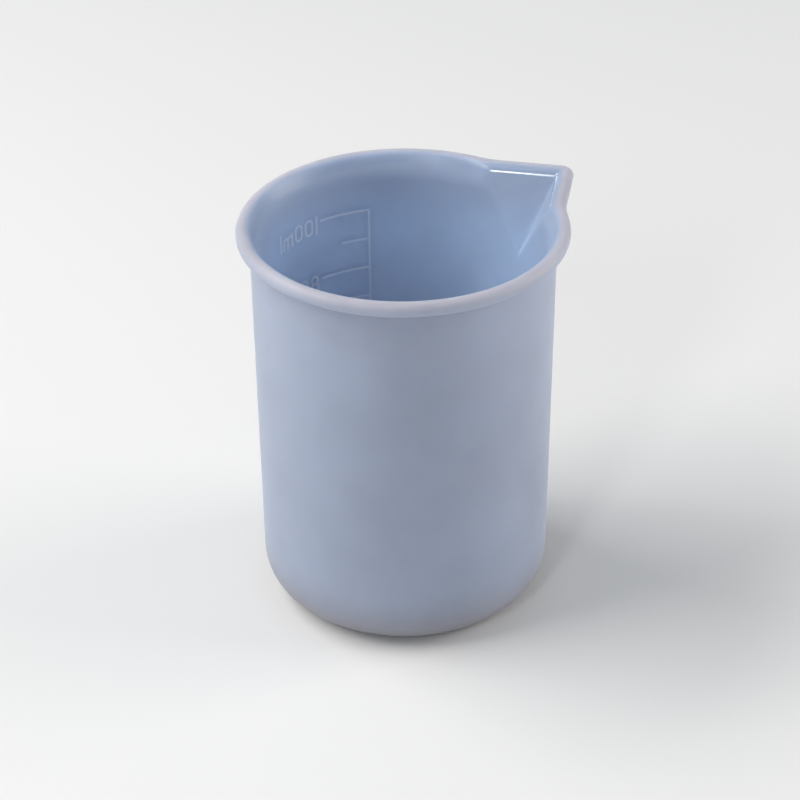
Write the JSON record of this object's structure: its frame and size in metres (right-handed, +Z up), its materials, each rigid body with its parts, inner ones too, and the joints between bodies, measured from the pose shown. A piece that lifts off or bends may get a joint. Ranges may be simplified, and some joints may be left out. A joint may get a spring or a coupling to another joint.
{
  "type": "resin mixing cup",
  "caption": "Small soft beaker for measuring and mixing resin, with a rolled rim, a V-shaped pouring spout, a rounded bottom corner and a raised volume scale.",
  "frame": {"origin": "middle of the flat base, on the surface that the cup stands on", "axes": "+Z up along the cup's axis, +X from the axis towards the pouring spout"},
  "size_m": [0.0627, 0.055, 0.07],
  "materials": {
    "silicone": "translucent milky silicone, satin",
    "raised_silicone": "the same silicone, in raised marks"
  },
  "bodies": {
    "root": {"cup_base": "silicone", "cup_wall": "silicone", "rim_bead": "silicone", "pouring_spout": "silicone", "scale_line": "raised_silicone", "long_ticks": "raised_silicone", "short_ticks": "raised_silicone", "scale_numbers": "raised_silicone", "unit_letters": "raised_silicone"}
  },
  "joints": []
}
